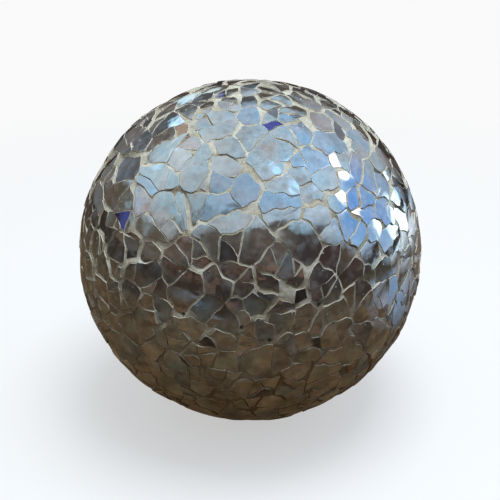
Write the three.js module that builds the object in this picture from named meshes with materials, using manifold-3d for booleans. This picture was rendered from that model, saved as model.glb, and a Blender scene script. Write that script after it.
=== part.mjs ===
// A free-standing mirror ball: sheets of cracked mirror glass laid over a hollow polystyrene ball and grouted.
// Millimetres, +Z up. The origin is the middle of the flat underside of the foot pad.

import * as THREE from 'three';
import { mergeVertices } from 'three/addons/utils/BufferGeometryUtils.js';
import Module from 'manifold-3d';

const wasm = await Module();
wasm.setup();

// Driving dimensions.
const BALL_RADIUS = 80; // over the glass
const GLASS = 3.1; // mirror glass with its backing film
const GROUT_BELOW_GLASS = 0.4; // the grout is wiped back to this far under the glass face
const ADHESIVE = 1.3; // tile adhesive between the core and the glass
const GAP = 0.3; // between pieces that touch
const SHEET_COUNT = 46;
const JOINT = 1.8; // glass edge to glass edge, between neighbouring sheets
const SHORTEST_SIDE = 3.4; // corners of a sheet that are closer together than this become one
const LONG_SIDE = 13.6; // a sheet's side longer than this bends in its middle
const WANDER = 2.2; // how far a sheet's edge strays from a straight line
const NUDGE = 5; // how far a sheet's centre is moved off its regular place
const CORE_WALL = 19;
const SEAM_GLUE = 0.6;
const SEAM_GLUE_SHORT = 2; // the seam glue stops this far short of the core's inner and outer faces
const TONGUE_WIDTH = 6;
const TONGUE_HEIGHT = 4;
const PAD_RADIUS = 22;
const PAD_THICKNESS = 4;
const PAD_EDGE = 0.5; // worn edge of the pad, underneath
const FOOT_GLUE_RADIUS = 18;
const FOOT_GLUE = 0.6;
const FOOT_RIM = 3; // ring of grout round the pad
const FOOT_CLEARANCE = 1; // the grout ring ends this high above the ground

// Worked out from them.
const GLASS_BACK = BALL_RADIUS - GLASS;
const GROUT_RADIUS = BALL_RADIUS - GROUT_BELOW_GLASS;
const BED_RADIUS = GLASS_BACK - GAP;
const BED_BACK = BED_RADIUS - ADHESIVE;
const CORE_RADIUS = BED_BACK - GAP;
const CORE_HOLLOW = CORE_RADIUS - CORE_WALL;
const FOOT_HOLE = PAD_RADIUS + GAP; // the opening in the bed and the grout that the pad sits in
const SHEETS_END = FOOT_HOLE + FOOT_RIM + GAP; // the sheets start this far out from the foot's axis
const CENTRE_HEIGHT = Math.sqrt(GROUT_RADIUS ** 2 - FOOT_HOLE ** 2) + FOOT_CLEARANCE;
const FLAT_HEIGHT = PAD_THICKNESS + GAP + FOOT_GLUE + GAP; // the flat trimmed on the core
const SEAM = SEAM_GLUE / 2 + GAP; // each half of the core stops this far from the middle
const TONGUE_RADIUS = CORE_RADIUS - CORE_WALL / 2;

// How finely the round shapes are cut into flats. The spheres share one pattern of flats, and both details are even.
const SPHERE_DETAIL = 4;
const HOLLOW_DETAIL = 2;
const ROUND_SEGMENTS = 32;
const GOLDEN_RATIO = (1 + Math.sqrt(5)) / 2;
const GOLDEN_ANGLE = 2 * Math.PI * (2 - GOLDEN_RATIO);
const FAR = 3 * BALL_RADIUS; // past everything, for cutting tools
const SHARP_LIMIT = 2; // an outline's sharp corner is drawn in by at most this many times the distance

const mirror = new THREE.MeshStandardMaterial({ color: 0x9fb0bd, roughness: 0.08, metalness: 1 });
const cement = new THREE.MeshStandardMaterial({ color: 0xbdb39a, roughness: 0.95, metalness: 0 });
const adhesive = new THREE.MeshStandardMaterial({ color: 0xb9b7b0, roughness: 0.9, metalness: 0 });
const polystyrene = new THREE.MeshStandardMaterial({ color: 0xf2f2ee, roughness: 0.8, metalness: 0 });
const glue = new THREE.MeshStandardMaterial({ color: 0xe6dfc4, roughness: 0.4, metalness: 0 });
const foam = new THREE.MeshStandardMaterial({ color: 0x2a2926, roughness: 0.9, metalness: 0 });

// Solids: a closed geometry becomes a solid for cutting and joining, and comes back as a geometry.

function solid(geometry) {
  const shape = geometry.clone();
  shape.deleteAttribute('normal');
  shape.deleteAttribute('uv');
  const merged = mergeVertices(shape, 1e-4);
  return new wasm.Manifold(new wasm.Mesh({
    numProp: 3,
    vertProperties: new Float32Array(merged.attributes.position.array),
    triVerts: new Uint32Array(merged.index.array),
  }));
}

function geometryOf(body) {
  const { vertProperties, triVerts } = body.getMesh();
  const geometry = new THREE.BufferGeometry();
  geometry.setAttribute('position', new THREE.BufferAttribute(vertProperties, 3));
  geometry.setIndex(new THREE.BufferAttribute(triVerts, 1));
  geometry.computeVertexNormals();
  return geometry;
}

// A ball cut into triangular flats. It measures its full radius along X, Y and Z, where the middle of a flat's side
// lies, so the corners of the flats stand slightly outside that radius and their middles slightly inside it.
function sphere(radius, detail = SPHERE_DETAIL) {
  const cornerRadius = radius * Math.hypot(1, 1 / (GOLDEN_RATIO * (detail + 1)));
  return solid(new THREE.IcosahedronGeometry(cornerRadius, detail));
}

// An upright cylinder on the ball's axis, from one height to another.
function post(radius, low, high) {
  const geometry = new THREE.CylinderGeometry(radius, radius, high - low, ROUND_SEGMENTS);
  geometry.rotateX(Math.PI / 2).translate(0, 0, (low + high) / 2);
  return solid(geometry);
}

// A body turned about the ball's axis from an outline of [radius, height] points.
function turned(points) {
  const geometry = new THREE.LatheGeometry(points.map(([r, z]) => new THREE.Vector2(r, z)), ROUND_SEGMENTS);
  return solid(geometry.rotateX(Math.PI / 2));
}

// A square-cut ring about the ball's axis.
function ring(inner, outer, low, high) {
  return turned([[inner, low], [outer, low], [outer, high], [inner, high], [inner, low]]);
}

function mesh(name, body, material) {
  const piece = new THREE.Mesh(geometryOf(body), material);
  piece.name = name;
  return piece;
}

// Repeatable scatter, from 0 to 1.
let scatterState = 20;
function scatter() {
  scatterState = (scatterState * 48271) % 2147483647;
  return scatterState / 2147483647;
}

// The layout of the sheets. Directions are unit vectors from the middle of the ball.

// Two directions that lie in the plane touching the ball at a direction.
function planeAxes(direction) {
  const helper = Math.abs(direction.z) < 0.9 ? new THREE.Vector3(0, 0, 1) : new THREE.Vector3(1, 0, 0);
  const across = new THREE.Vector3().crossVectors(helper, direction).normalize();
  return [across, new THREE.Vector3().crossVectors(direction, across)];
}

// Sheet centres run down a golden-angle spiral from the top to the foot, each nudged off its place.
function sheetCentres() {
  const lowest = -Math.sqrt(1 - (SHEETS_END / BALL_RADIUS) ** 2);
  return Array.from({ length: SHEET_COUNT }, (_, i) => {
    const z = 1 - ((i + 0.5) / SHEET_COUNT) * (1 - lowest);
    const level = Math.sqrt(1 - z * z);
    const place = new THREE.Vector3(level * Math.cos(i * GOLDEN_ANGLE), level * Math.sin(i * GOLDEN_ANGLE), z);
    const [across, along] = planeAxes(place);
    const nudge = (NUDGE / BALL_RADIUS) * 2;
    place.addScaledVector(across, nudge * (scatter() - 0.5)).addScaledVector(along, nudge * (scatter() - 0.5));
    return place.normalize();
  });
}

// Keeps the part of a flat outline where side(point) is positive. side is a linear function.
function clip(outline, side) {
  return outline.flatMap((point, i) => {
    const next = outline[(i + 1) % outline.length];
    const here = side(point);
    const there = side(next);
    const kept = here >= 0 ? [point] : [];
    if (here >= 0 !== there >= 0) kept.push(point.clone().lerp(next, here / (here - there)));
    return kept;
  });
}

// The directions of the corners of the area that is nearer to one centre than to any other.
function cellCorners(centres, centre) {
  const [across, along] = planeAxes(centre);
  const reach = BALL_RADIUS;
  let outline = [[-1, -1], [1, -1], [1, 1], [-1, 1]].map(([x, y]) => new THREE.Vector2(x * reach, y * reach));
  for (const other of centres) {
    if (other === centre || other.dot(centre) < 0) continue;
    const away = centre.clone().sub(other);
    const [a, b, c] = [away.dot(across), away.dot(along), away.dot(centre) * BALL_RADIUS];
    outline = clip(outline, (point) => a * point.x + b * point.y + c);
  }
  return outline.map(({ x, y }) => centre.clone().multiplyScalar(BALL_RADIUS)
    .addScaledVector(across, x).addScaledVector(along, y).normalize());
}

// Moves a direction by a wavy amount that is the same for both sheets at a joint.
function wander(direction) {
  const { x, y, z } = direction;
  const wave = new THREE.Vector3(
    Math.sin(13 * y + 4 * z + 1) + Math.sin(9 * z - 6 * x),
    Math.sin(12 * z + 5 * x + 2) + Math.sin(10 * x - 7 * y),
    Math.sin(11 * x + 6 * y + 3) + Math.sin(8 * y - 5 * z),
  );
  return direction.clone().addScaledVector(wave, WANDER / BALL_RADIUS / 2).normalize();
}

// Corners too close together become one, and each long side gets a point in its middle.
function wanderingOutline(corners) {
  const far = (a, b) => a.distanceTo(b) * BALL_RADIUS > SHORTEST_SIDE;
  const joined = [];
  corners.forEach((corner, i) => {
    const before = corners[(i + corners.length - 1) % corners.length];
    const after = corners[(i + 1) % corners.length];
    if (!far(before, corner)) return;
    joined.push(far(corner, after) ? corner : corner.clone().add(after).normalize());
  });
  return joined.flatMap((corner, i) => {
    const next = joined[(i + 1) % joined.length];
    const middle = corner.clone().add(next).normalize();
    const long = corner.distanceTo(next) * BALL_RADIUS > LONG_SIDE;
    return (long ? [corner, middle] : [corner]).map(wander);
  });
}

// Draws a flat outline in on every side by a distance.
function drawnIn(outline, distance) {
  const count = outline.length;
  return outline.map((point, i) => {
    const before = point.clone().sub(outline[(i + count - 1) % count]).normalize();
    const after = outline[(i + 1) % count].clone().sub(point).normalize();
    const inward = new THREE.Vector2(-before.y - after.y, before.x + after.x).normalize();
    const slant = inward.dot(new THREE.Vector2(-after.y, after.x));
    return point.clone().addScaledVector(inward, distance / Math.max(slant, 1 / SHARP_LIMIT));
  });
}

// A block with a sheet's outline that widens outwards from the middle of the ball, right through its skin.
function wedge(centre, directions, inset) {
  const [across, along] = planeAxes(centre);
  const flat = directions.map((direction) => {
    const scale = BALL_RADIUS / direction.dot(centre);
    return new THREE.Vector2(direction.dot(across) * scale, direction.dot(along) * scale);
  });
  const geometry = new THREE.ExtrudeGeometry(new THREE.Shape(drawnIn(flat, inset)), {
    depth: BALL_RADIUS, bevelEnabled: false,
  });
  geometry.translate(0, 0, BALL_RADIUS / 2);
  const { position } = geometry.attributes;
  for (let i = 0; i < position.count; i += 1) {
    const widen = position.getZ(i) / BALL_RADIUS;
    position.setXY(i, position.getX(i) * widen, position.getY(i) * widen);
  }
  geometry.applyMatrix4(new THREE.Matrix4().makeBasis(across, along, centre));
  return solid(geometry);
}

// The parts of the ball, about its own middle.

function core() {
  const shell = sphere(CORE_RADIUS).subtract(sphere(CORE_HOLLOW, HOLLOW_DETAIL));
  const flat = FLAT_HEIGHT - CENTRE_HEIGHT;
  const tongueInner = TONGUE_RADIUS - TONGUE_WIDTH / 2;
  const tongueOuter = TONGUE_RADIUS + TONGUE_WIDTH / 2;
  const slack = 2 * GAP + SEAM_GLUE; // room for glue on each flank of the tongue
  const upper = shell.intersect(post(FAR, SEAM, FAR))
    .subtract(ring(tongueInner - slack, tongueOuter + slack, -SEAM, SEAM + TONGUE_HEIGHT));
  const lower = shell.intersect(post(FAR, flat, -SEAM))
    .add(ring(tongueInner, tongueOuter, -2 * SEAM, TONGUE_HEIGHT - SEAM));
  return [mesh('core_lower_half', lower, polystyrene), mesh('core_upper_half', upper, polystyrene)];
}

// The glue ring follows the joint: flat on both sides, and up over the tongue.
function seamGlue() {
  const inner = TONGUE_RADIUS - TONGUE_WIDTH / 2 - GAP;
  const outer = TONGUE_RADIUS + TONGUE_WIDTH / 2 + GAP;
  const low = -SEAM_GLUE / 2;
  const crown = TONGUE_HEIGHT - SEAM + GAP;
  const rim = CORE_WALL / 2 - SEAM_GLUE_SHORT;
  const body = turned([
    [TONGUE_RADIUS - rim, low], [inner, low], [inner, crown], [outer, crown], [outer, low],
    [TONGUE_RADIUS + rim, low], [TONGUE_RADIUS + rim, -low],
    [outer + SEAM_GLUE, -low], [outer + SEAM_GLUE, crown + SEAM_GLUE],
    [inner - SEAM_GLUE, crown + SEAM_GLUE], [inner - SEAM_GLUE, -low], [TONGUE_RADIUS - rim, -low],
    [TONGUE_RADIUS - rim, low],
  ]);
  return mesh('core_seam_glue', body, glue);
}

function adhesiveBed() {
  const body = sphere(BED_RADIUS).subtract(sphere(BED_BACK)).subtract(post(FOOT_HOLE, -FAR, 0));
  return mesh('adhesive_bed', body, adhesive);
}

function sheetsAndGrout() {
  const centres = sheetCentres();
  const glassShell = sphere(BALL_RADIUS).subtract(sphere(GLASS_BACK)).subtract(post(SHEETS_END, -FAR, 0));
  let net = sphere(GROUT_RADIUS).subtract(sphere(GLASS_BACK)).subtract(post(FOOT_HOLE, -FAR, 0));
  const rim = post(SHEETS_END - GAP, -FAR, 0);
  const sheets = centres.map((centre, i) => {
    const outline = wanderingOutline(cellCorners(centres, centre));
    net = net.subtract(wedge(centre, outline, JOINT / 2 - GAP).subtract(rim));
    const number = String(i + 1).padStart(2, '0');
    return mesh(`mirror_sheet_${number}`, glassShell.intersect(wedge(centre, outline, JOINT / 2)), mirror);
  });
  return [...sheets, mesh('grout', net, cement)];
}

// The foot, from the ground up.

function foot() {
  const pad = turned([
    [0, 0], [PAD_RADIUS - PAD_EDGE, 0], [PAD_RADIUS, PAD_EDGE], [PAD_RADIUS, PAD_THICKNESS], [0, PAD_THICKNESS],
  ]);
  const glueLow = PAD_THICKNESS + GAP;
  return [
    mesh('foot_pad', pad, foam),
    mesh('foot_glue', post(FOOT_GLUE_RADIUS, glueLow, glueLow + FOOT_GLUE), glue),
  ];
}

const ball = new THREE.Group();
ball.position.z = CENTRE_HEIGHT;
ball.add(...core(), seamGlue(), adhesiveBed(), ...sheetsAndGrout());

const mirrorBall = new THREE.Group();
mirrorBall.add(ball, ...foot());

export default mirrorBall;
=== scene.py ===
"""The looks of the mirror ball: every CAD mirror sheet becomes its cracked fragments, sunk in sandy grout.

Lengths are metres. Directions are unit vectors from the middle of the ball.
"""

import math

import bmesh
import bpy
import numpy as np
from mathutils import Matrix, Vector


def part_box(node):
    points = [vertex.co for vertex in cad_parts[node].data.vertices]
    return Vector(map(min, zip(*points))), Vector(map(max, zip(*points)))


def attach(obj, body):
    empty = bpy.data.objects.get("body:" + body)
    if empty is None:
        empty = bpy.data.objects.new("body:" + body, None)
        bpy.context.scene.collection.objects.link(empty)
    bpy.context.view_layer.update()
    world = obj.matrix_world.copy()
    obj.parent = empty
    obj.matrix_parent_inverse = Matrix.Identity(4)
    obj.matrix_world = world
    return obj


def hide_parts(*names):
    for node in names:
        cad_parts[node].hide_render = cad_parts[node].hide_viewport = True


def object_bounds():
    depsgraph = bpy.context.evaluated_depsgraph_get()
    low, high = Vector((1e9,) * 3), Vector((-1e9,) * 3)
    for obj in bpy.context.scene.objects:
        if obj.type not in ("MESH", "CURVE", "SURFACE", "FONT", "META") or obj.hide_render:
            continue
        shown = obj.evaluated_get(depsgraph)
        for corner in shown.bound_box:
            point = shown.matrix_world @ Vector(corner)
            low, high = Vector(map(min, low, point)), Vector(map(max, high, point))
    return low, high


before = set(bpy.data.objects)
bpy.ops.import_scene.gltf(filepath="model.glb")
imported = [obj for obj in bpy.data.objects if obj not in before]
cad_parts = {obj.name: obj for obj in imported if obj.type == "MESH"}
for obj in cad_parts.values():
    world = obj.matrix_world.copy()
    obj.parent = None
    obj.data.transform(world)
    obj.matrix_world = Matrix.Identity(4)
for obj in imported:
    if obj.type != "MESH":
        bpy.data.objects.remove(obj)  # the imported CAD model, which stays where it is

MM = 0.001
CAD_LOW, CAD_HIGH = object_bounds()

# The ball, from the CAD box.
BALL_RADIUS = CAD_HIGH.x
BALL_CENTRE = np.array([0.0, 0.0, CAD_HIGH.z - BALL_RADIUS])
GLASS_BACK = BALL_RADIUS - 3.05 * MM  # the back of the fragments
GROUT_BACK = BALL_RADIUS - 3.15 * MM  # and of the grout that they are sunk in
HIGHEST_GLASS = BALL_RADIUS - 0.01 * MM
PAD_LOW, PAD_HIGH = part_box("foot_pad")
FOOT_HOLE = PAD_HIGH.x + 0.3 * MM  # radius of the grout's opening

# The lie of the surface: the ball isn't quite round, and has two shallow hollows low down.
LUMPS = 0.22 * MM  # the surface wanders this far each way, and never outside the full radius
LUMP_SPACING = 38 * MM
HOLLOWS = (  # direction, depth
    ((-0.39, -0.39, -0.83), 1.9 * MM),
    ((0.42, -0.38, -0.82), 2.1 * MM),
)
HOLLOW_SPREAD = math.radians(9)

# The fragments. A sheet first breaks into cells, and a cell may crack further into fragments.
CELL_AREA = 96 * MM**2  # mean
FEWEST_CELLS = 3  # in a sheet
SEED_CIRCLE = (1.0 * MM, 6.5 * MM)  # round a cell's seed: the wider it is, the more room its cell takes
MOST_TAKEN = 0.3  # from a neighbour, as a share of the distance between their seeds
SPLIT_AREA = (20 * MM**2, 240 * MM**2)  # a piece this large may crack in two, and one this large does
SPLITS = 4  # at most, one inside another
CRACK = (0.14 * MM, 0.6 * MM)  # hair cracks, narrowest and widest
WIDE_CRACK_SHARE = 0.14  # of the cracks have opened
WIDE_CRACK = (0.8 * MM, 2.2 * MM)
FAULT = (0.5 * MM, 2.0 * MM)  # the bands where a sheet has parted in two
FAULT_SHARE = 0.4  # of the sheets have one
FAULT_OFF_MIDDLE = (-0.03, 0.03)  # in radii of the ball
SHEET_JOINT = (0.2 * MM, 2.0 * MM)  # between fragments of neighbouring sheets
NARROWNESS = 3.2  # the higher, the more of the sheet joints are narrow
JOINT_PLACES = (0.15, 0.85)  # a joint is this far along the way between the seeds on its two sides
JOINT_HOLD = 0.5  # how closely joints keep to the one between the CAD sheets, from 0 to 1
OVERHANG = 2.5 * MM  # the furthest that a cell reaches past a side of its sheet, before its cracks are bent
LOST_SHARE = 0.07  # of the small fragments have come away, and grout fills their places
LARGEST_LOST = 40 * MM**2
TILT = math.radians(3.3)  # spread of the fragments' slants
ODD_TILT = 2.4  # how much more the odd ones slant
ODD_SHARE = 0.25
LARGEST_LEAN = 0.8 * MM  # a slant lifts or drops a fragment's edge by at most this much
THINNEST_GLASS = 0.5 * MM
SINK = 0.2 * MM  # how deep a fragment may sit
CLEARANCE = 0.02 * MM  # between a fragment's highest point and the surface
FACE_CURVE = (32 * MM, 100 * MM)  # radius of a fragment's face, most and least curved
OUTLINE_STEP = 1.15 * MM
SMALLEST_FRAGMENT = 3.0 * MM**2
CELL_REACH = 22 * MM  # half a side of the square that each cell is cut from
NEIGHBOURS_REACH = 1.6 * CELL_REACH  # seeds further away than this don't bound a cell
CHIPPING = 0.12 * MM  # how far an outline's points are knocked in
MOST_CHIPS = 2  # off one fragment
CHIP = (0.3 * MM, 1.8 * MM)  # off a corner; most are small
BEND_BROAD_BY = 0.55 * MM  # how far cracks wander in long bends
BEND_FINE_BY = 0.65 * MM  # and in short kinks

# The grout. It fills the joints and runs on, lower down, inside the fragments, which are sunk in it.
GROUT_EDGE = 0.2 * MM  # how far it lies below the glass at a fragment's edge
GROUT_SMEAR = 0.14 * MM  # by how much that varies
SMEAR_SPACING = 17 * MM
LEAST_EDGE = 0.03 * MM
GROUT_DIP = 0.26 * MM  # how much further it dips between fragments
DIP_REACH = 0.9 * MM  # it reaches most of that dip this far from the glass
GROUT_UNDER = 0.45 * MM  # and how much further it dips under the glass
UNDER_REACH = 0.6 * MM
GROUT_LUMPS = 0.06 * MM
GROUT_LUMP_SPACING = 3.2 * MM
GROUT_LEVEL = 6  # fineness of its mesh under the glass
BACK_LEVEL = 4  # and of its back
GROUT_REFINES = (0.8 * MM, 0.12 * MM)  # its mesh is halved out to this far under the glass, and halved again
GROUT_RIM = BALL_RADIUS - 0.6 * MM  # round the foot's opening
THINNEST_GROUT = 0.3 * MM
SHORE = 0.7 * MM  # how far from the glass dirt and painted shade reach
PIT_COUNT = 120  # at most
PIT_TRIES = 12 * PIT_COUNT  # places, all over the ball
PIT_ROOM = 0.55 * MM  # from a pit's middle to the nearest glass, at least
PIT_RADIUS = (0.4 * MM, 0.95 * MM)
PIT_DEPTH = (0.6 * MM, 1.5 * MM)
PIT_EDGE = 1.25  # in pit radii, where the pit begins
PIT_ROUNDNESS = 0.6  # the lower, the steeper its side and the flatter its bottom

SEED = 41


def spread(rng, low_high, shape=None):
    return rng.uniform(low_high[0], low_high[1], shape)


def unit(vectors):
    return vectors / np.linalg.norm(vectors, axis=-1, keepdims=True)


def plane_axes(direction):
    """Two directions that lie in the plane touching the ball at a direction."""
    near_pole = abs(direction[2]) >= 0.9
    helper = np.array([1.0, 0.0, 0.0] if near_pole else [0.0, 0.0, 1.0])
    across = unit(np.cross(helper, direction))
    return across, np.cross(direction, across)


class Waves:
    """Repeatable noise over the ball: a sum of waves, smooth or kinked, of about -1 to 1 in each part."""

    HEIGHT = 0.6  # keeps the sum inside about -1 to 1
    SHORTER_LONGER = (0.75, 1.3)  # the waves' lengths differ by this much

    def __init__(self, seed, wavelength, parts=1, count=9, kinked=False):
        rng = np.random.default_rng(seed)
        turns = 2 * math.pi * BALL_RADIUS / wavelength
        along = unit(rng.normal(size=(count, 3)))
        self.along = along * turns * spread(rng, self.SHORTER_LONGER, (count, 1))
        self.phase = spread(rng, (0, 2 * math.pi), count)
        self.size = rng.normal(size=(count, parts)) * math.sqrt(2 / count) * self.HEIGHT
        self.kinked = kinked

    def __call__(self, directions):
        """One column for each part, or a plain row of numbers where there is only one."""
        waves = np.sin(directions @ self.along.T + self.phase)
        if self.kinked:
            waves = np.arcsin(waves) * 2 / math.pi
        waves = waves @ self.size
        return waves[:, 0] if waves.shape[1] == 1 else waves


BEND_BROAD = Waves(SEED + 1, 13 * MM, parts=3)
BEND_FINE = Waves(SEED + 2, 7 * MM, parts=3, count=5, kinked=True)
LIE = Waves(SEED + 6, LUMP_SPACING)


def bend_amount(directions):
    return (BEND_BROAD(directions) * BEND_BROAD_BY + BEND_FINE(directions) * BEND_FINE_BY) / BALL_RADIUS


def bent(directions):
    """Bends straight cracks into crooked ones."""
    return unit(directions + bend_amount(directions))


def unbent(directions, rounds=6):
    """The other way, near enough."""
    guess = directions
    for _ in range(rounds):
        guess = unit(directions - bend_amount(guess))
    return guess


def surface_radius(directions):
    """How far from the middle of the ball its surface lies, were it unbroken."""
    radius = BALL_RADIUS - LUMPS * (1 - np.clip(LIE(directions), -1, 1))
    for place, depth in HOLLOWS:
        away = np.linalg.norm(directions - unit(np.array(place)), axis=-1)
        radius = radius - depth * np.exp(-0.5 * (away / HOLLOW_SPREAD) ** 2)
    return radius


def surface_facing(direction):
    """The way the unbroken surface faces."""
    step = 2 * MM / BALL_RADIUS
    across, along = plane_axes(direction)
    around = unit(np.array([direction + across * step, direction - across * step,
                            direction + along * step, direction - along * step]))
    points = around * surface_radius(around)[:, None]
    return unit(np.cross(points[0] - points[1], points[2] - points[3]))


# The sheets' outlines, from the CAD solids.

def outline_of(node, same=0.01 * MM, in_front=0.7):
    """The directions round the front face of a CAD sheet, anticlockwise seen from outside.

    The front is every facet whose normal points outwards, and its outline is the edges that only one of
    those facets has.
    """
    mesh = node.data
    points = np.array([v.co for v in mesh.vertices]) - BALL_CENTRE
    keys = [tuple(np.round(p / same).astype(int)) for p in points]
    edges = {}
    for polygon in mesh.polygons:
        middle = points[list(polygon.vertices)].mean(0)
        if np.dot(polygon.normal, unit(middle)) < in_front:
            continue
        loop = [keys[v] for v in polygon.vertices]
        for a, b in zip(loop, loop[1:] + loop[:1]):
            if (b, a) in edges:
                del edges[b, a]
            else:
                edges[a, b] = True
    after = {a: b for a, b in edges}
    start = min(after)
    ring, here = [start], after[start]
    while here != start:
        ring.append(here)
        here = after[here]
    return without_straight_points(unit(np.array(ring, float)))


def without_straight_points(ring, straight=math.cos(math.radians(2))):
    sides = unit(np.roll(ring, -1, axis=0) - ring)
    turns = (sides * np.roll(sides, 1, axis=0)).sum(1)
    return ring[turns < straight]


# Fragments. A fragment is the part of the ball where direction . normal >= offset for each of its sides.
# While it is being cut out it is a cell: those sides, and a polygon in the plane that touches the ball at
# the cell's seed.

def clip(polygon, normal, offset):
    """Keeps the part of a flat polygon where normal . point <= offset."""
    side = offset - polygon @ normal
    kept = []
    for i, here in enumerate(side):
        there = side[(i + 1) % len(side)]
        if here >= 0:
            kept.append(polygon[i])
        if (here >= 0) != (there >= 0):
            kept.append(polygon[i] + (polygon[(i + 1) % len(side)] - polygon[i]) * here / (here - there))
    return np.array(kept).reshape(-1, 2)


def area(polygon):
    x, y = polygon.T
    return 0.5 * abs(np.dot(x, np.roll(y, -1)) - np.dot(y, np.roll(x, -1)))


def room_inside(ring, directions):
    """How far inside a sheet's outline each direction is, in metres, and below 0 outside it."""
    inward = unit(np.cross(ring, np.roll(ring, -1, axis=0)))
    return (directions @ inward.T).min(-1) * BALL_RADIUS


def scatter_seeds(rng, ring, count, tries=9, edge_worth=2.2):
    """Unevenly scattered directions inside a sheet's outline, each the roomiest of a few tries."""
    middle = unit(ring.mean(0))
    axes = np.array(plane_axes(middle))
    flat = ring @ axes.T / (ring @ middle)[:, None]
    sides = np.roll(flat, -1, axis=0) - flat
    inward = unit(np.stack([-sides[:, 1], sides[:, 0]], 1))
    seeds = []
    while len(seeds) < count:
        best, best_room = None, -1
        for place in rng.uniform(flat.min(0), flat.max(0), (tries, 2)):
            edge_room = (inward * (place - flat)).sum(1).min()
            if edge_room <= 0:
                continue
            room = min([edge_room * edge_worth] + [np.linalg.norm(place - s) for s in seeds])
            if room > best_room:
                best, best_room = place, room
        if best is not None:
            seeds.append(best)
    return unit(middle + np.array(seeds) @ axes)


def fault_sides(rng, seeds):
    """Which side of its sheet's fault each cell is on."""
    if rng.random() > FAULT_SHARE:
        return np.zeros(len(seeds), bool)
    across, along = plane_axes(unit(seeds.mean(0)))
    turn = spread(rng, (0, math.pi))
    direction = across * math.cos(turn) + along * math.sin(turn)
    return seeds @ direction > spread(rng, FAULT_OFF_MIDDLE)


class Cells:
    """The seeds of every sheet's cells, and the cracks and joints between them."""

    def __init__(self, rng, rings):
        self.rings = rings
        self.lowest = min(ring[:, 2].min() for ring in rings)  # the sheets end here, round the foot
        seeds, sheets, faults = [], [], []
        for number, ring in enumerate(rings):
            flat = ring @ np.array(plane_axes(unit(ring.mean(0)))).T * BALL_RADIUS
            own = scatter_seeds(rng, ring, max(FEWEST_CELLS, round(area(flat) / CELL_AREA)))
            seeds.append(own)
            sheets += [number] * len(own)
            faults.append(fault_sides(rng, own))
        self.seeds = np.vstack(seeds)
        self.sheets = np.array(sheets)
        self.faults = np.concatenate(faults)
        self.weights = spread(rng, SEED_CIRCLE, len(sheets)) ** 2
        self.widths = self.crack_widths(rng)

    def crack_widths(self, rng):
        """How wide the crack or joint between each two cells is."""
        shape = (len(self.seeds),) * 2
        width = spread(rng, CRACK, shape)
        width = np.where(rng.random(shape) < WIDE_CRACK_SHARE, spread(rng, WIDE_CRACK, shape), width)
        parted = self.faults[:, None] != self.faults[None]
        width = np.where(parted, spread(rng, FAULT, shape), width)
        narrow, wide = SHEET_JOINT
        joint = narrow + (wide - narrow) * rng.random(shape) ** NARROWNESS
        width = np.where(self.sheets[:, None] != self.sheets[None], joint, width)
        return np.triu(width) + np.triu(width).T

    def joint_shift(self, i, j, samples=12):
        """How far past halfway from seed i to seed j the joint between their two sheets is, in metres."""
        if i > j:
            return -self.joint_shift(j, i)
        steps = np.linspace(0, 1, samples)
        way = unit(self.seeds[i] + steps[:, None] * (self.seeds[j] - self.seeds[i]))
        ahead = room_inside(self.rings[self.sheets[i]], way) - room_inside(self.rings[self.sheets[j]], way)
        after = max(1, np.argmax(ahead < 0))
        before = after - 1
        part = steps[before] + steps[1] * ahead[before] / (ahead[before] - ahead[after])
        length = np.linalg.norm(self.seeds[i] - self.seeds[j]) * BALL_RADIUS
        return (np.clip(part, *JOINT_PLACES) - 0.5) * length * JOINT_HOLD

    def cell(self, i):
        """The part of the ball that is nearest to a seed, short of its cracks and joints."""
        seed = self.seeds[i]
        ring = self.rings[self.sheets[i]]
        inward = unit(np.cross(ring, np.roll(ring, -1, axis=0)))
        sides = [(normal, -OVERHANG / BALL_RADIUS) for normal in inward]
        sides.append((np.array([0.0, 0.0, 1.0]), self.lowest))
        apart = np.linalg.norm(self.seeds - seed, axis=1) * BALL_RADIUS
        for j in np.flatnonzero((apart < NEIGHBOURS_REACH) & (apart > 0)):
            if self.sheets[i] == self.sheets[j]:
                most = MOST_TAKEN * apart[j]
                grow = np.clip((self.weights[i] - self.weights[j]) / (2 * apart[j]), -most, most)
            else:
                grow = self.joint_shift(i, j)
            sides.append((unit(seed - self.seeds[j]), (self.widths[i, j] / 2 - grow) / BALL_RADIUS))
        return cut_cell(seed, sides)

    def fragments(self, rng, sheet):
        """The fragments of one sheet."""
        cells = [self.cell(i) for i in np.flatnonzero(self.sheets == sheet)]
        parts = [part for cell in cells for part in shatter(rng, cell, SPLITS)]
        lost = [area(part["polygon"]) < LARGEST_LOST and rng.random() < LOST_SHARE for part in parts]
        return [fragment(rng, part) for part, gone in zip(parts, lost) if not gone]


def cut_cell(seed, sides):
    axes = np.array(plane_axes(seed))
    polygon = np.array([[-1, -1], [1, -1], [1, 1], [-1, 1]]) * CELL_REACH
    cell = {"seed": seed, "axes": axes, "polygon": polygon, "sides": []}
    for normal, offset in sides:
        slope = -axes @ normal
        length = np.linalg.norm(slope)
        level = (normal @ seed - offset) * BALL_RADIUS / length
        cell = trimmed(cell, slope / length, level, (normal, offset))
    return cell


def trimmed(cell, outward, level, side=None):
    """What is left of a cell on the inner side of a line in its plane: outward . point <= level."""
    side = side or (unit(cell["seed"] * level / BALL_RADIUS - outward @ cell["axes"]), 0.0)
    polygon = clip(cell["polygon"], outward, level)
    return {**cell, "polygon": polygon, "sides": [*cell["sides"], (outward, level, *side)]}


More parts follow.
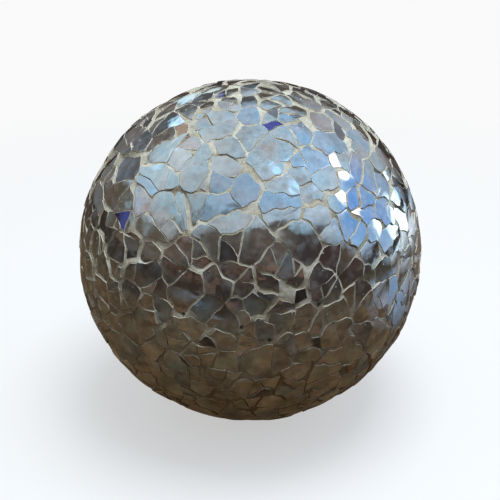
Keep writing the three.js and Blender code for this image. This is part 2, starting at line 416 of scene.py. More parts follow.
def shatter(rng, cell, splits, turns=(-0.5, 0.5), off_middle=0.16):
    """Cracks a cell in two across its longest way, and each half again, until the parts are small enough."""
    polygon = cell["polygon"]
    if len(polygon) < 3 or area(polygon) < SMALLEST_FRAGMENT:
        return []
    if splits == 0 or area(polygon) < spread(rng, SPLIT_AREA):
        return [cell]
    spans = polygon[:, None] - polygon[None]
    longest = spans.reshape(-1, 2)[np.argmax((spans**2).sum(2))]
    turn = math.atan2(longest[1], longest[0]) + spread(rng, turns)
    outward = np.array([math.cos(turn), math.sin(turn)])
    place = polygon.mean(0) + rng.normal(size=2) * off_middle * math.sqrt(area(polygon))
    level = outward @ place
    gap = spread(rng, WIDE_CRACK if rng.random() < WIDE_CRACK_SHARE / 2 else CRACK)
    halves = trimmed(cell, outward, level - gap / 2), trimmed(cell, -outward, -level - gap / 2)
    return [part for half in halves for part in shatter(rng, half, splits - 1)]


def chipped_cell(rng, cell):
    """Takes a chip off some of a cell's corners."""
    smallest, largest = CHIP
    for _ in range(rng.integers(0, MOST_CHIPS + 1)):
        polygon = cell["polygon"]
        corner = polygon[rng.integers(len(polygon))]
        outward = unit(corner - polygon.mean(0))
        depth = smallest + (largest - smallest) * rng.random() ** 2
        chipped = trimmed(cell, outward, outward @ corner - depth)
        if len(chipped["polygon"]) > 2 and area(chipped["polygon"]) > SMALLEST_FRAGMENT:
            cell = chipped
    return cell


def bounding_sides(cell, touching=0.02 * MM):
    """The sides that a cell's polygon has an edge on. The others lie clear of it."""
    polygon = cell["polygon"]
    return [side for side in cell["sides"] if sum(abs(polygon @ side[0] - side[1]) < touching) >= 2]


def fragment(rng, cell):
    """Chips a cell's corners, bends its outline and sets it in its seat."""
    cell = chipped_cell(rng, cell)
    polygon = cell["polygon"]
    bounding = bounding_sides(cell)
    outline = bent(on_ball(resampled(polygon), cell))
    middle = unit(outline.mean(0))
    inward = unit(middle - outline) * rng.random((len(outline), 1)) ** 2 * CHIPPING / BALL_RADIUS
    outline = unit(outline + inward)
    slant = TILT * (ODD_TILT if rng.random() < ODD_SHARE else 1)
    lean = rng.normal(size=3) * slant
    reach = np.linalg.norm(outline - middle, axis=1).max() * BALL_RADIUS
    lean *= min(1, LARGEST_LEAN / (reach * np.linalg.norm(lean)))
    facing = unit(surface_facing(middle) + lean)
    curve = spread(rng, FACE_CURVE)
    around = np.vstack([outline, unit(outline + middle), middle])
    crown = (np.linalg.norm(around - middle, axis=1) * BALL_RADIUS) ** 2 / (2 * curve)
    highest = ((surface_radius(around) + crown) * (around @ facing)).min()
    seat = highest - CLEARANCE - rng.random() ** 1.5 * SINK
    return {"outline": outline, "middle": middle, "facing": facing, "seat": seat, "curve": curve,
            "area": area(polygon), "normals": np.array([side[2] for side in bounding]),
            "offsets": np.array([side[3] for side in bounding])}


def on_ball(points, cell):
    return unit(cell["seed"] + points @ cell["axes"] / BALL_RADIUS)


def resampled(polygon):
    """More points along each side, so that it can bend."""
    points = []
    for here, there in zip(polygon, np.roll(polygon, -1, axis=0)):
        steps = max(1, round(np.linalg.norm(there - here) / OUTLINE_STEP))
        points += [here + (there - here) * k / steps for k in range(steps)]
    return np.array(points)


def face_radius(piece, directions):
    """How far from the middle of the ball the fragment's face is, in each direction."""
    plane = piece["seat"] / (directions @ piece["facing"])
    lateral = np.linalg.norm(directions - piece["middle"], axis=-1) * BALL_RADIUS
    face = plane - lateral**2 / (2 * piece["curve"])
    return np.clip(face, GLASS_BACK + THINNEST_GLASS, HIGHEST_GLASS)


# Rings of a fragment from its middle out: how far in from the outline, and how far below the face.
RINGS = ((1.1 * MM, 0.0), (0.11 * MM, 0.0), (0.0, 0.07 * MM))
LARGEST_INSET = 0.6  # of the way to the middle


def fragment_mesh(piece):
    """The vertices, the faces and how much each vertex is on the cut edge.

    A fragment has a glossy face, a narrow chipped edge, walls and a back.
    """
    outline, middle = piece["outline"], piece["middle"]
    count = len(outline)
    to_middle = middle - outline
    room = np.linalg.norm(to_middle, axis=1, keepdims=True) * BALL_RADIUS
    rings = []
    for inset, drop in RINGS:
        directions = unit(outline + to_middle * np.minimum(inset / room, LARGEST_INSET))
        rings.append(directions * (face_radius(piece, directions) - drop)[:, None])
    rings.append(outline * GLASS_BACK)
    top = middle * face_radius(piece, middle[None])
    vertices = np.vstack([top, *rings, middle * GLASS_BACK])
    edge = [0.0] * (1 + 2 * count) + [1.0] * (2 * count + 1)  # the last two rings and the back are cut
    faces = []
    for k in range(count):
        after = (k + 1) % count
        faces.append((0, 1 + k, 1 + after))
        for ring in range(len(rings) - 1):
            a, b = 1 + ring * count + k, 1 + ring * count + after
            faces.append((a, a + count, b + count, b))
        last = 1 + (len(rings) - 1) * count
        faces.append((last + after, last + k, len(vertices) - 1))
    return vertices + BALL_CENTRE, faces, edge


# Most tints are the glass's own. The dark and coloured ones are painted reflection, standing in for the dark
# room and coloured things that the fragments mirror.
TINTS_AND_PAINTED_REFLECTIONS = (  # share, colour, how much its brightness varies
    (0.65, (0.90, 0.91, 0.91), 0.16),
    (0.15, (0.70, 0.82, 0.96), 0.18),
    (0.08, (0.88, 0.80, 0.79), 0.16),
    (0.08, (0.38, 0.36, 0.40), 0.4),
    (0.02, (0.15, 0.15, 0.58), 0.2),
    (0.012, (0.80, 0.48, 0.33), 0.2),
    (0.008, (0.32, 0.48, 0.34), 0.2),
)
LARGEST_WITH_PAINTED_REFLECTION = 42 * MM**2  # a larger fragment than this takes one of the first three tints


def pick_tint_with_painted_reflections(rng, size):
    choices = TINTS_AND_PAINTED_REFLECTIONS if size < LARGEST_WITH_PAINTED_REFLECTION else TINTS_AND_PAINTED_REFLECTIONS[:3]
    share = np.array([tint[0] for tint in choices])
    _, colour, varies = choices[rng.choice(len(choices), p=share / share.sum())]
    return np.array(colour) * (1 - varies * rng.random())


def new_object(name, vertices, faces, material):
    mesh = bpy.data.meshes.new(name)
    mesh.from_pydata([tuple(v) for v in vertices], [], faces)
    mesh.materials.append(material)
    obj = bpy.data.objects.new(name, mesh)
    bpy.context.scene.collection.objects.link(obj)
    return obj


def shade_smoothly(mesh, crease):
    """Shades a mesh smoothly, except where its faces meet at more than the crease, in degrees."""
    mesh.polygons.foreach_set("use_smooth", [True] * len(mesh.polygons))
    mesh.set_sharp_from_angle(angle=math.radians(crease))


def cracked_sheet(number, node_name, pieces, rng, material):
    """One object for all the fragments of a sheet."""
    vertices, faces, tints_and_reflections, shards, edges = [], [], [], [], []
    for piece in pieces:
        own_vertices, own_faces, own_edges = fragment_mesh(piece)
        start = len(vertices)
        vertices.extend(own_vertices)
        faces += [tuple(start + v for v in face) for face in own_faces]
        edges += own_edges
        tints_and_reflections += [(*pick_tint_with_painted_reflections(rng, piece["area"]), 1.0)] * len(own_vertices)
        shards += [rng.random()] * len(own_vertices)
    obj = new_object(f"cracked_sheet_{number:02d}", vertices, faces, material)
    mesh = obj.data
    # The tint attribute holds the glass's tints and the painted reflections.
    mesh.attributes.new("tint", "FLOAT_COLOR", "POINT").data.foreach_set("color", np.ravel(tints_and_reflections))
    mesh.attributes.new("shard", "FLOAT", "POINT").data.foreach_set("value", shards)
    mesh.attributes.new("edge", "FLOAT", "POINT").data.foreach_set("value", edges)
    shade_smoothly(mesh, 20)
    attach(obj, "root")
    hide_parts(node_name)


# The grout.

class Mosaic:
    """All the fragments together, to find what lies over any place on the ball."""

    NEAREST = 7  # fragments to look at
    PART = 20000  # directions at a time
    LOWEST = 1.1 * MM  # a face counts as no lower than this below the surface
    CROWN_REACH = 9 * MM  # a face is taken to curve down no further out than this
    BLEND = 0.15 * MM  # nearer than this, a fragment's face counts far more than its neighbours'
    NO_SIDE = -9.0  # an offset that every direction is inside

    def __init__(self, pieces):
        self.middle = np.array([p["middle"] for p in pieces])
        self.facing = np.array([p["facing"] for p in pieces])
        self.seat = np.array([p["seat"] for p in pieces])
        self.curve = np.array([p["curve"] for p in pieces])
        most = max(len(p["offsets"]) for p in pieces)
        self.normals = np.zeros((len(pieces), most, 3))
        self.offsets = np.full((len(pieces), most), self.NO_SIDE)
        for row, piece in enumerate(pieces):
            count = len(piece["offsets"])
            self.normals[row, :count] = piece["normals"]
            self.offsets[row, :count] = piece["offsets"]

    def look(self, directions):
        """For each direction: metres inside the nearest fragment, or below 0, and the glass's radius."""
        inside = np.empty(len(directions))
        glass = np.empty(len(directions))
        for start in range(0, len(directions), self.PART):
            part = slice(start, start + self.PART)
            inside[part], glass[part] = self._look(directions[part])
        return inside, glass

    def _look(self, directions):
        near = np.argpartition(-(directions @ self.middle.T), self.NEAREST, axis=1)[:, :self.NEAREST]
        straight = unbent(directions)
        into = np.einsum("vnsk,vk->vns", self.normals[near], straight) - self.offsets[near]
        into = into.min(2) * BALL_RADIUS
        plane = self.seat[near] / np.einsum("vnk,vk->vn", self.facing[near], directions)
        lateral = np.linalg.norm(directions[:, None] - self.middle[near], axis=2) * BALL_RADIUS
        crown = np.minimum(lateral, self.CROWN_REACH) ** 2 / (2 * self.curve[near])
        usual = surface_radius(directions)[:, None]
        radius = np.clip(plane - crown, usual - self.LOWEST, usual)
        weight = 1 / (np.maximum(-into, 0) + self.BLEND) ** 2
        return into.max(1), (weight * radius).sum(1) / weight.sum(1)


def grout_skin(mosaic):
    """A fine round mesh of radius 1, finest in the joints."""
    mesh = bmesh.new()
    bmesh.ops.create_icosphere(mesh, subdivisions=GROUT_LEVEL, radius=1.0)
    for reach in GROUT_REFINES:
        inside, _ = mosaic.look(unit(np.array([v.co for v in mesh.verts])))
        in_joint = inside < reach
        mesh.verts.ensure_lookup_table()
        chosen = [e for e in mesh.edges if in_joint[e.verts[0].index] or in_joint[e.verts[1].index]]
        bmesh.ops.subdivide_edges(mesh, edges=chosen, cuts=1, use_grid_fill=True)
        bmesh.ops.triangulate(mesh, faces=[f for f in mesh.faces if len(f.verts) > 3])
        mesh.verts.index_update()
    return mesh


def open_foot(mesh, radius, hole):
    """Removes the faces over the foot, and draws the rim out to a true circle."""
    level = hole / radius
    inner = [v for v in mesh.verts if v.co.z < 0 and math.hypot(v.co.x, v.co.y) / v.co.length < level]
    bmesh.ops.delete(mesh, geom=inner, context="VERTS")
    rim = [e for e in mesh.edges if e.is_boundary]
    for vertex in {v for e in rim for v in e.verts}:
        turn = math.atan2(vertex.co.y, vertex.co.x)
        vertex.co = Vector((level * math.cos(turn), level * math.sin(turn), -math.sqrt(1 - level**2)))
    return rim


def pits(rng, mosaic):
    """Places in the wide joints where the grout has a hole, and each hole's size."""
    places = unit(rng.normal(size=(PIT_TRIES, 3)))
    inside, _ = mosaic.look(places)
    places = places[inside < -PIT_ROOM][:PIT_COUNT]
    return places, spread(rng, PIT_RADIUS, len(places)), spread(rng, PIT_DEPTH, len(places))


def grout_relief(directions, mosaic, rng):
    """For each direction: the radius of the grout's surface, how deep in a pit it is, how near the glass."""
    inside, glass = mosaic.look(directions)
    outside = np.maximum(-inside, 0)
    smear = Waves(SEED + 3, SMEAR_SPACING)(directions)
    lumps = Waves(SEED + 4, GROUT_LUMP_SPACING, count=14)(directions)
    edge = np.clip(GROUT_EDGE + smear * GROUT_SMEAR, LEAST_EDGE, None)
    dip = GROUT_DIP * (1 - np.exp(-outside / DIP_REACH))
    radius = glass - edge - dip + lumps * GROUT_LUMPS
    radius -= np.clip(inside / UNDER_REACH, 0, 1) * GROUT_UNDER
    hollow = np.zeros(len(directions))
    for place, size, depth in zip(*pits(rng, mosaic)):
        near = np.flatnonzero(directions @ place > math.cos(2 * size / BALL_RADIUS))
        away = np.linalg.norm(directions[near] - place, axis=1) * BALL_RADIUS / size
        bowl = np.clip(PIT_EDGE - away, 0, 1) ** PIT_ROUNDNESS
        radius[near] -= bowl * depth
        hollow[near] = np.maximum(hollow[near], bowl)
    return np.maximum(radius, GROUT_BACK + THINNEST_GROUT), hollow, np.exp(-outside / SHORE)


def grout_back():
    """The inner skin of the grout, facing inwards, as a mesh."""
    inner = bmesh.new()
    bmesh.ops.create_icosphere(inner, subdivisions=BACK_LEVEL, radius=1.0)
    open_foot(inner, GROUT_BACK, FOOT_HOLE)
    bmesh.ops.reverse_faces(inner, faces=inner.faces)
    for vertex in inner.verts:
        vertex.co *= GROUT_BACK
    back = bpy.data.meshes.new("grout_back")
    inner.to_mesh(back)
    return back


def make_grout(mosaic, material):
    rng = np.random.default_rng(SEED + 5)
    outer = grout_skin(mosaic)
    outer_rim = open_foot(outer, GROUT_RIM, FOOT_HOLE)
    directions = unit(np.array([v.co for v in outer.verts]))
    radius, hollow, shore = grout_relief(directions, mosaic, rng)
    on_rim = np.zeros(len(directions), bool)
    outer.verts.index_update()
    on_rim[[v.index for e in outer_rim for v in e.verts]] = True
    radius = np.where(on_rim, GROUT_RIM, radius)
    pit_layer = outer.verts.layers.float.new("pit")
    shore_layer = outer.verts.layers.float.new("shore")
    for vertex, direction, length, depth, near in zip(outer.verts, directions, radius, hollow, shore):
        vertex.co = direction * length
        vertex[pit_layer] = depth
        vertex[shore_layer] = near
    back = grout_back()
    outer.from_mesh(back)
    bpy.data.meshes.remove(back)
    bmesh.ops.bridge_loops(outer, edges=[e for e in outer.edges if e.is_boundary])
    bmesh.ops.triangulate(outer, faces=[f for f in outer.faces if len(f.verts) > 3])
    bmesh.ops.recalc_face_normals(outer, faces=outer.faces)
    bmesh.ops.translate(outer, verts=outer.verts, vec=BALL_CENTRE)
    mesh = bpy.data.meshes.new("grout_net")
    outer.to_mesh(mesh)
    mesh.materials.append(material)
    shade_smoothly(mesh, 60)
    obj = bpy.data.objects.new("grout_net", mesh)
    bpy.context.scene.collection.objects.link(obj)
    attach(obj, "root")
    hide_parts("grout")


# The foot pad: a disc of closed-cell foam, its edges softened and its side slightly barrelled.

PAD_PROFILE = (  # from the middle of the underside to the middle of the top, in pad radii and heights
    (0.6, 0.0), (0.93, 0.0), (0.975, 0.03), (0.993, 0.14), (1.0, 0.45),
    (0.996, 0.8), (0.98, 0.96), (0.95, 1.0), (0.5, 1.0),
)


def make_foot_pad(material, steps=96):
    height = PAD_HIGH.z - PAD_LOW.z
    vertices, faces = [], []
    for radius, level in PAD_PROFILE:
        for k in range(steps):
            turn = 2 * math.pi * k / steps
            place = PAD_HIGH.x * radius
            vertices.append((place * math.cos(turn), place * math.sin(turn), PAD_LOW.z + height * level))
    vertices += [(0, 0, PAD_LOW.z), (0, 0, PAD_HIGH.z)]
    low, high = len(vertices) - 2, len(vertices) - 1
    rings = len(PAD_PROFILE)
    for k in range(steps):
        after = (k + 1) % steps
        faces.append((low, after, k))
        for ring in range(rings - 1):
            a, b = ring * steps + k, ring * steps + after
            faces.append((a, b, b + steps, a + steps))
        faces.append((high, (rings - 1) * steps + k, (rings - 1) * steps + after))
    obj = new_object("foot_pad_foam", vertices, faces, material)
    shade_smoothly(obj.data, 40)
    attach(obj, "root")
    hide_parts("foot_pad")


# Materials.

MUD_AND_SHADE_HEIGHT = (94 * MM, 42 * MM)  # about where the mud and painted shade start, and where they are thickest
MUD_AND_SHADE_RAGGED = 25 * MM  # how far its edge strays up and down

# Colours are linear RGB. Pairs are the two ends of a mottled colour.
CLOUDS = (0.78, 0.78, 0.78), (1.0, 1.0, 1.0)  # multiply a fragment's tint
COOL_TO_WARM = (0.84, 0.96, 1.0), (1.0, 0.93, 0.90)  # and so do these
MUD_AND_SHADE_ON_GLASS = (0.60, 0.465, 0.29)  # and this, where there is mud and painted shade
CUT_EDGE = (0.68, 0.65, 0.56), (0.42, 0.30, 0.17)  # clean, muddy and shaded
FLECK = (0.60, 0.58, 0.52)
SAND = (0.665, 0.65, 0.57), (0.49, 0.45, 0.345)
STAIN = (0.32, 0.26, 0.14)
DIRT_AND_SHADE_BY_GLASS = (0.26, 0.205, 0.11)
PALE_GRAIN, DARK_GRAIN = (0.78, 0.77, 0.71), (0.22, 0.17, 0.10)
# mud and painted shade, which darken the grout low down
MUD_AND_SHADE_ON_GROUT = (0.27, 0.185, 0.10)
# painted shade inside the grout's pits
PIT_SHADE = (0.035, 0.03, 0.02)
FOAM = (0.018, 0.018, 0.017), (0.05, 0.048, 0.044)
POLYSTYRENE = (0.74, 0.74, 0.72), (0.90, 0.90, 0.88)
ADHESIVE = (0.42, 0.41, 0.39), (0.60, 0.59, 0.56)
GLUE = (0.62, 0.56, 0.38), (0.80, 0.76, 0.60)


class Nodes:
    """Short forms for building a node tree."""

    def __init__(self, tree):
        self.tree = tree

    def add(self, kind, **settings):
        node = self.tree.nodes.new(kind)
        for key, value in settings.items():
            setattr(node, key, value)
        return node

    def link(self, output, target):
        self.tree.links.new(output, target)

    def feed(self, target, value):
        """Links a socket, or sets a number or colour."""
        if isinstance(value, bpy.types.NodeSocket):
            self.link(value, target)
        elif isinstance(value, tuple) and len(value) == 3 and target.type == "RGBA":
            target.default_value = (*value, 1.0)
        else:
            target.default_value = value

    def math(self, operation, *values):
        node = self.add("ShaderNodeMath", operation=operation)
        for target, value in zip(node.inputs, values):
            self.feed(target, value)
        return node.outputs[0]

    def place(self):
        return self.add("ShaderNodeTexCoord").outputs["Object"]

    def noise(self, wavelength, detail=2.0, roughness=0.5, vector=None, w=None):
        node = self.add("ShaderNodeTexNoise", noise_dimensions="4D" if w else "3D")
        node.inputs["Scale"].default_value = 1 / wavelength
        node.inputs["Detail"].default_value = detail
        node.inputs["Roughness"].default_value = roughness
        self.link(vector or self.place(), node.inputs["Vector"])
        if w:
            self.link(w, node.inputs["W"])
        return node.outputs["Fac"]

    def stretch(self, value, low, high, to_low=0.0, to_high=1.0):
        node = self.add("ShaderNodeMapRange")
        self.link(value, node.inputs["Value"])
        node.inputs["From Min"].default_value = low
        node.inputs["From Max"].default_value = high
        node.inputs["To Min"].default_value = to_low
        node.inputs["To Max"].default_value = to_high
        return node.outputs["Result"]

    def mix(self, factor, a, b, how="MIX"):
        node = self.add("ShaderNodeMix", data_type="RGBA", blend_type=how)
        for target, value in ((node.inputs[0], factor), (node.inputs[6], a), (node.inputs[7], b)):
            self.feed(target, value)
        return node.outputs[2]

    def emission(self, colour):
        node = self.add("ShaderNodeEmission")
        self.feed(node.inputs["Color"], colour)
        return node.outputs[0]

    def blend(self, factor, a, b):
        node = self.add("ShaderNodeMixShader")
        for target, value in zip(node.inputs, (factor, a, b)):
            self.feed(target, value)
        return node.outputs[0]

    def attribute(self, name, output="Fac"):
        return self.add("ShaderNodeAttribute", attribute_name=name).outputs[output]

    def bump(self, height, depth, under=None):
        node = self.add("ShaderNodeBump")
        node.inputs["Distance"].default_value = depth
        node.inputs["Strength"].default_value = 1.0
        self.link(height, node.inputs["Height"])
        if under:
            self.link(under, node.inputs["Normal"])
        return node.outputs["Normal"]


class Material(Nodes):
    def __init__(self, name):
        self.material = bpy.data.materials.new(name)
        self.material.use_nodes = True
        super().__init__(self.material.node_tree)
        self.shader = self.tree.nodes["Principled BSDF"]

    def set(self, **values):
        for key, value in values.items():
            self.feed(self.shader.inputs[key.replace("_", " ")], value)
        return self.material


def mud_and_painted_shade(n):
    """How much mud and painted shade a place has, from 0 to 1: the ball's lower half is splashed with mud
    and darkened with painted shade.
    """
    apart = n.add("ShaderNodeSeparateXYZ")
    n.link(n.place(), apart.inputs[0])
    ragged = n.stretch(n.noise(12 * MM, 4.0, 0.65), 0.3, 0.7, -MUD_AND_SHADE_RAGGED, MUD_AND_SHADE_RAGGED)
    return n.stretch(n.math("ADD", apart.outputs["Z"], ragged), *MUD_AND_SHADE_HEIGHT)


def mirror_material():
    """Cracked silvered glass: each fragment slightly wavy, with its own tint, some of them painted
    reflection, and hazy here and there.
    """
    n = Material("cracked_mirror")
    shard = n.stretch(n.attribute("shard"), 0, 1, 0, 40)
    broad = n.noise(5 * MM, 1.0, w=shard)
    fine = n.noise(1.5 * MM, 2.0, w=shard)
    waves = n.bump(fine, 0.010 * MM, under=n.bump(broad, 0.13 * MM))
    haze = n.stretch(n.noise(5 * MM, 3.0), 0.45, 0.75)
    clouds = n.mix(n.stretch(n.noise(2.2 * MM, 3.0, w=shard), 0.3, 0.7), *CLOUDS)
    silver = n.mix(1.0, n.attribute("tint", "Color"), clouds, "MULTIPLY")
    hue = n.mix(n.stretch(n.noise(9 * MM, 1.0, w=shard), 0.36, 0.62), *COOL_TO_WARM)
    silver = n.mix(1.0, silver, hue, "MULTIPLY")
    # Mud and painted shade on the lower half: a brown film over the glass, and darker cut edges.
    mud_and_shade = mud_and_painted_shade(n)
    mud_and_shade_film = n.math("MULTIPLY", mud_and_shade, n.stretch(n.noise(7 * MM, 4.0, 0.6), 0.35, 0.65, 0.35, 0.75))
    silver = n.mix(mud_and_shade_film, silver, n.mix(1.0, silver, MUD_AND_SHADE_ON_GLASS, "MULTIPLY"))
    edge = n.stretch(n.attribute("edge"), 0.02, 0.2)
    colour = n.mix(edge, silver, n.mix(mud_and_shade, *CUT_EDGE))
    fleck = n.stretch(n.noise(1.7 * MM, 1.0), 0.755, 0.775)
    colour = n.mix(fleck, colour, FLECK)
    covered = n.math("MAXIMUM", edge, fleck)
    hazy = n.math("MAXIMUM", haze, mud_and_shade_film)
    metallic = n.math("MULTIPLY", n.stretch(covered, 0, 1, 1, 0), n.stretch(hazy, 0, 1, 0.97, 0.78))
    roughness = n.math("MAXIMUM", n.stretch(covered, 0, 1, 0, 0.7), n.stretch(hazy, 0, 1, 0.05, 0.20))
    return n.set(Base_Color=colour, Metallic=metallic, Roughness=roughness, Normal=waves,
                 Coat_Weight=n.stretch(covered, 0, 1, 0.7, 0), Coat_Roughness=0.03, Coat_IOR=1.5)


def grout_material():
    """Sandy cream cement, stained olive in places, muddy and darkened with painted shade low down, with
    grains, dirt and painted shade by the glass, and pits darkened with painted shade.
    """
    n = Material("sandy_grout")
    stain = n.stretch(n.noise(15 * MM, 4.0, 0.6), 0.46, 0.72)
    blotch = n.stretch(n.noise(2.4 * MM, 4.0, 0.7), 0.36, 0.64)
    grain = n.noise(0.55 * MM, 3.0, 0.75)
    stained = n.mix(n.stretch(stain, 0, 1, 0, 0.7), n.mix(blotch, *SAND), STAIN)
    # Dirt and painted shade gather in patches in the grout next to the glass.
    in_patches = n.stretch(n.noise(7 * MM, 3.0, 0.6), 0.44, 0.62, 0, 0.75)
    dirt_and_shade_gathered = n.math("MULTIPLY", n.attribute("shore"), in_patches)
    dirty_and_shaded = n.mix(dirt_and_shade_gathered, stained, DIRT_AND_SHADE_BY_GLASS)
    sandy = n.mix(n.stretch(grain, 0.52, 0.66, 0, 0.5), dirty_and_shaded, PALE_GRAIN)
    specked = n.mix(n.stretch(grain, 0.40, 0.30, 0, 0.6), sandy, DARK_GRAIN)
    # Mud and painted shade darken the grout low down.
    muddy_and_shaded = n.mix(n.stretch(mud_and_painted_shade(n), 0, 1, 0, 0.9), specked, MUD_AND_SHADE_ON_GROUT)
    # Painted shade darkens the pits.
    pit_shaded = n.mix(n.attribute("pit"), muddy_and_shaded, PIT_SHADE)
    relief = n.bump(grain, 0.16 * MM, under=n.bump(n.noise(1.4 * MM, 3.0, 0.6), 0.34 * MM))
    return n.set(Base_Color=pit_shaded, Roughness=n.stretch(grain, 0.3, 0.7, 0.82, 0.96), Normal=relief,
                 Specular_IOR_Level=0.3)


def foam_material():
    n = Material("closed_cell_foam")
    cells = n.noise(0.9 * MM, 3.0, 0.6)
    return n.set(Base_Color=n.mix(n.stretch(cells, 0.35, 0.7), *FOAM),
                 Roughness=n.stretch(cells, 0.3, 0.7, 0.75, 0.95), Normal=n.bump(cells, 0.15 * MM))


def polystyrene_material():
    """White beads pressed together."""
    n = Material("polystyrene_beads")
    beads = n.add("ShaderNodeTexVoronoi", feature="DISTANCE_TO_EDGE")
    beads.inputs["Scale"].default_value = 1 / (3.2 * MM)
    n.link(n.place(), beads.inputs["Vector"])
    edge = n.stretch(beads.outputs["Distance"], 0, 0.12)
    return n.set(Base_Color=n.mix(edge, *POLYSTYRENE), Roughness=0.7, Normal=n.bump(edge, 0.12 * MM))


def adhesive_material():
    n = Material("tile_adhesive")
    comb = n.noise(4 * MM, 3.0, 0.6)
    return n.set(Base_Color=n.mix(comb, *ADHESIVE), Roughness=0.92, Normal=n.bump(comb, 0.4 * MM))


def glue_material():
    n = Material("dried_glue")
    ripples = n.noise(5 * MM, 2.0)
    return n.set(Base_Color=n.mix(ripples, *GLUE), Roughness=0.35, Normal=n.bump(ripples, 0.2 * MM))


def dress_inner_pieces():
    """The CAD pieces inside the ball keep their shapes and get their materials."""
    polystyrene, adhesive, glue = polystyrene_material(), adhesive_material(), glue_material()
    inside = {"core_lower_half": polystyrene, "core_upper_half": polystyrene,
              "adhesive_bed": adhesive, "core_seam_glue": glue, "foot_glue": glue}
    for name, material in inside.items():
        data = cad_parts[name].data
        data.materials.clear()
        data.materials.append(material)


# The studio. The camera sees a pale floor and backdrop. The ball sees brown ground, a dim room and a big
# soft light overhead, as a ball that stands on the ground under a window would. The brown ground is a
# painted glow on the floor, which only reflections and bounce light see, with a painted shadow under the
# ball.

BACKDROP = (0.95, 0.95, 0.95)
ROOM = (0.034, 0.021, 0.016), (0.19, 0.115, 0.077)
ROOM_HIGHER_UP = (0.10, 0.085, 0.070)
ROOM_SIDES = (0.12, 0.09, 0.06)
WINDOW = (0.46, 0.55, 0.60), (0.56, 0.76, 0.95)  # left, right
WINDOW_GREY, WINDOW_BLUE = (0.40, 0.38, 0.40), (0.34, 0.52, 0.68)  # blotches in it
# The ground as the ball sees it, a painted glow: brown clods, and a painted shadow under the ball.
GROUND_GLOW = (0.052, 0.036, 0.020), (0.172, 0.121, 0.068)
PAINTED_SHADOW_UNDER_BALL = (0.03, 0.02, 0.011)
GROUND_FAR_OFF = (0.040, 0.027, 0.018)
FLOOR_RADIUS = 6.0

# Soft patches of light and shade in the room: direction, full and fading half-widths in degrees, colour.
PATCHES_IN_ROOM = (
    ((0.76, -0.61, 0.20), 8, 24, (0.045, 0.027, 0.024)),
    ((-0.60, 0.20, 0.80), 8, 26, (0.60, 0.74, 0.82)),
    ((0.62, 0.68, 0.39), 9, 24, (0.44, 0.50, 0.56)),
    ((0.96, 0.25, -0.02), 12, 32, (0.50, 0.69, 0.90)),
    ((0.92, 0.07, 0.37), 10, 25, (0.24, 0.46, 0.88)),
    ((0.80, 0.0, 0.58), 6, 9, (2.3, 2.4, 2.5)),
    ((0.90, 0.42, 0.06), 7, 11, (1.7, 2.1, 2.2)),
    ((-0.26, 0.90, 0.33), 4, 6, (0.95, 1.15, 1.15)),
    ((-0.49, 0.62, 0.61), 3, 5, (1.2, 1.5, 1.7)),
    ((-0.66, 0.24, 0.70), 4, 6, (0.75, 1.05, 1.35)),
    ((0.43, -0.20, 0.88), 4, 6, (0.7, 1.1, 1.6)),
    ((-0.88, 0.04, 0.48), 4, 7, (0.5, 0.62, 0.78)),
    ((-0.65, 0.75, 0.08), 10, 30, (0.165, 0.16, 0.155)),
)

# Daylight that falls on the ground: place, full and fading radius in metres, colour.
LIGHT_ON_GROUND = (
    ((0.25, 0.02), 0.05, 0.13, (0.34, 0.42, 0.56)),
    ((-0.25, -0.46), 0.05, 0.14, (0.15, 0.18, 0.21)),
    ((0.21, 0.22), 0.06, 0.17, (0.17, 0.135, 0.10)),
    ((0.75, 0.34), 0.16, 0.46, (0.95, 1.2, 1.38)),
)


def build_world():
    world = bpy.data.worlds.new("studio")
    bpy.context.scene.world = world
    world.use_nodes = True
    n = Nodes(world.node_tree)
    n.tree.nodes.clear()
    direction = n.add("ShaderNodeTexCoord").outputs["Generated"]
    apart = n.add("ShaderNodeSeparateXYZ")
    n.link(direction, apart.inputs[0])
    x, y, z = apart.outputs
    blotches = n.noise(0.17, 5.0, 0.62, vector=direction)
    streaks = n.noise(0.42, 3.0, 0.55, vector=direction)
    room = n.mix(n.stretch(blotches, 0.47, 0.66), *ROOM)
    room = n.mix(n.stretch(z, 0.1, 0.5), room, ROOM_HIGHER_UP)
    room = n.mix(n.stretch(n.math("ABSOLUTE", x), 0.62, 0.9), room, ROOM_SIDES)
    # How far a direction is above the ragged edge of the window light.
    height = n.math("SUBTRACT", z, n.math("MULTIPLY", n.math("ABSOLUTE", y), 0.78))
    height = n.math("ADD", height, n.math("MULTIPLY", n.math("MINIMUM", x, 0.0), 0.2))
    height = n.math("ADD", height, n.stretch(streaks, 0.2, 0.8, -0.30, 0.26))
    height = n.math("ADD", height, n.stretch(blotches, 0.35, 0.65, 0.13, -0.13))
    window = n.mix(n.stretch(x, -0.6, 0.7), *WINDOW)
    window = n.mix(n.stretch(blotches, 0.50, 0.64, 0.0, 0.75), window, WINDOW_GREY)
    window = n.mix(n.stretch(blotches, 0.46, 0.34, 0.0, 0.7), window, WINDOW_BLUE)
    colour = n.mix(n.stretch(height, -0.08, 0.14), room, window)
    for centre, full, fading, light in PATCHES_IN_ROOM:
        dot = n.add("ShaderNodeVectorMath", operation="DOT_PRODUCT")
        n.link(direction, dot.inputs[0])
        dot.inputs[1].default_value = Vector(centre).normalized()
        edges = [math.cos(math.radians(angle)) for angle in (fading, full)]
        colour = n.mix(n.stretch(dot.outputs["Value"], *edges), colour, light)
    seen = n.mix(n.add("ShaderNodeLightPath").outputs["Is Camera Ray"], colour, BACKDROP)
    background = n.add("ShaderNodeBackground")
    n.link(seen, background.inputs["Color"])
    n.link(background.outputs[0], n.add("ShaderNodeOutputWorld").inputs["Surface"])


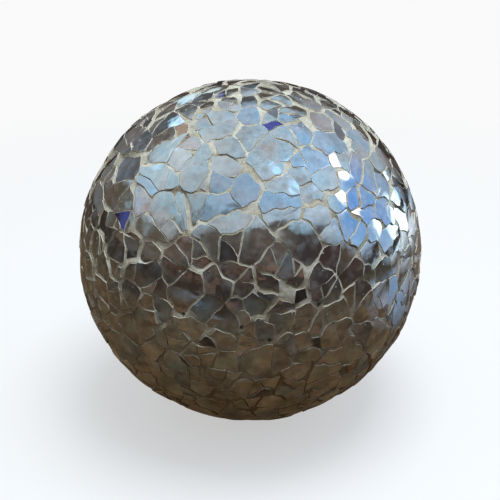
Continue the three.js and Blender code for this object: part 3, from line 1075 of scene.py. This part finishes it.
def build_floor():
    bpy.ops.mesh.primitive_circle_add(vertices=128, radius=FLOOR_RADIUS, fill_type="NGON",
                                      location=(0, 0, 0))
    floor = bpy.context.object
    floor.name = "floor"
    n = Material("pale_floor")
    distance = n.add("ShaderNodeVectorMath", operation="LENGTH")
    n.link(n.place(), distance.inputs[0])
    away = distance.outputs["Value"]
    n.set(Base_Color=(0.9, 0.9, 0.9), Roughness=0.9)
    melting = n.stretch(away, 0.1, 0.55, 0.55, 1.0)  # into the backdrop, away from the ball
    seen = n.blend(melting, n.shader.outputs[0], n.emission(BACKDROP))
    # What the ball sees of the ground is a painted glow: brown clods, a painted shadow under the ball,
    # darker far off, and pools of daylight.
    clods = n.stretch(n.noise(0.035, 4.0, 0.65), 0.36, 0.64)
    ground_glow = n.mix(n.stretch(away, 0.0, 0.08), PAINTED_SHADOW_UNDER_BALL, n.mix(clods, *GROUND_GLOW))
    ground_glow = n.mix(n.stretch(away, 0.22, 0.8), ground_glow, GROUND_FAR_OFF)
    for centre, full, fading, light in LIGHT_ON_GROUND:
        reach = n.add("ShaderNodeVectorMath", operation="DISTANCE")
        n.link(n.place(), reach.inputs[0])
        reach.inputs[1].default_value = (*centre, 0)
        ground_glow = n.mix(n.stretch(reach.outputs["Value"], fading, full), ground_glow, light)
    path = n.add("ShaderNodeLightPath")
    both = n.blend(path.outputs["Is Camera Ray"], n.emission(ground_glow), seen)
    n.link(both, n.tree.nodes["Material Output"].inputs["Surface"])
    floor.data.materials.append(n.material)


def build_lights():
    """Two soft lamps, which the ball doesn't mirror."""
    for name, place, size, watts, colour in (
        ("overhead", (0.12, -0.05, 0.95), 0.5, 7.0, (0.93, 0.97, 1.0)),
        ("left_fill", (-0.8, -0.35, 0.45), 0.4, 0.4, (1.0, 0.84, 0.64)),
    ):
        light = bpy.data.lights.new(name, "AREA")
        light.size = size
        light.energy = watts
        light.color = colour
        lamp = bpy.data.objects.new(name, light)
        lamp.location = place
        aim = Vector(BALL_CENTRE) - lamp.location
        lamp.rotation_euler = aim.to_track_quat("-Z", "Y").to_euler()
        lamp.visible_glossy = False
        bpy.context.scene.collection.objects.link(lamp)


def build_camera():
    elevation = math.radians(25)
    lens, sensor, frame_share = 60.0, 36.0, 0.3448  # the ball's radius over the picture's width
    spread_angle = math.atan(frame_share * sensor / lens)
    distance = BALL_RADIUS / math.sin(spread_angle)
    data = bpy.data.cameras.new("camera")
    data.lens = lens
    data.sensor_width = sensor
    camera = bpy.data.objects.new("camera", data)
    back = Vector((0, -math.cos(elevation), math.sin(elevation)))
    camera.location = Vector(BALL_CENTRE) + back * distance
    camera.rotation_euler = (-back).to_track_quat("-Z", "Y").to_euler()
    data.clip_start = 0.01
    bpy.context.scene.collection.objects.link(camera)
    bpy.context.scene.camera = camera


def build_ball():
    mirror = mirror_material()
    names = sorted(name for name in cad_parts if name.startswith("mirror_sheet_"))
    cells = Cells(np.random.default_rng(SEED), [outline_of(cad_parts[name]) for name in names])
    pieces = []
    for number, name in enumerate(names):
        rng = np.random.default_rng((SEED, number))
        own = cells.fragments(rng, number)
        cracked_sheet(number + 1, name, own, rng, mirror)
        pieces += own
    make_grout(Mosaic(pieces), grout_material())
    make_foot_pad(foam_material())
    dress_inner_pieces()


build_ball()
build_world()
build_floor()
build_lights()
build_camera()
bpy.context.scene.view_settings.view_transform = "Standard"
